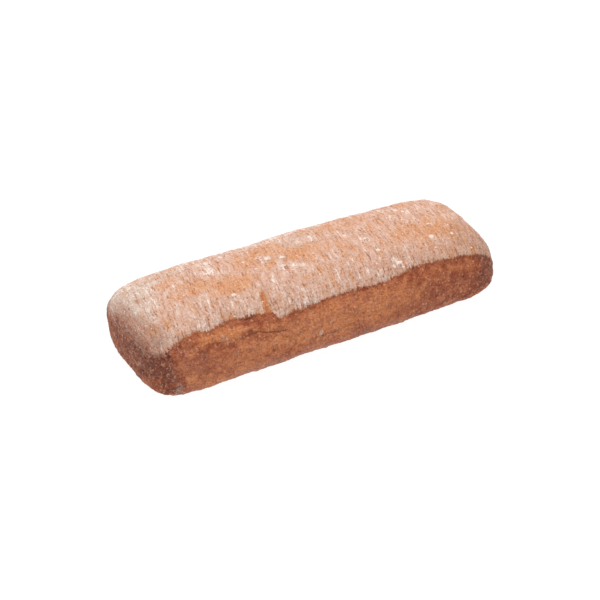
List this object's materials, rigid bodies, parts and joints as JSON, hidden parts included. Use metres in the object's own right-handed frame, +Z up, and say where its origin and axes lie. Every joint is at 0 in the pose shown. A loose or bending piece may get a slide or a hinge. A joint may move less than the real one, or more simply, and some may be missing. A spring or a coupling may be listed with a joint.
{
  "type": "ciabatta loaf",
  "caption": "Long, low, flour-dusted white bread loaf with blunt rounded ends, a crowned top, creased crusty sides and a flat underside.",
  "frame": {"origin": "on the table, under the middle of the loaf's box", "axes": "+X along the loaf from its near end to its far end, +Y across it from its front to its back, +Z up from the flat underside"},
  "size_m": [0.2798, 0.109, 0.0531],
  "materials": {
    "crust": "matte"
  },
  "bodies": {
    "root": {"loaf": "crust"}
  },
  "joints": []
}
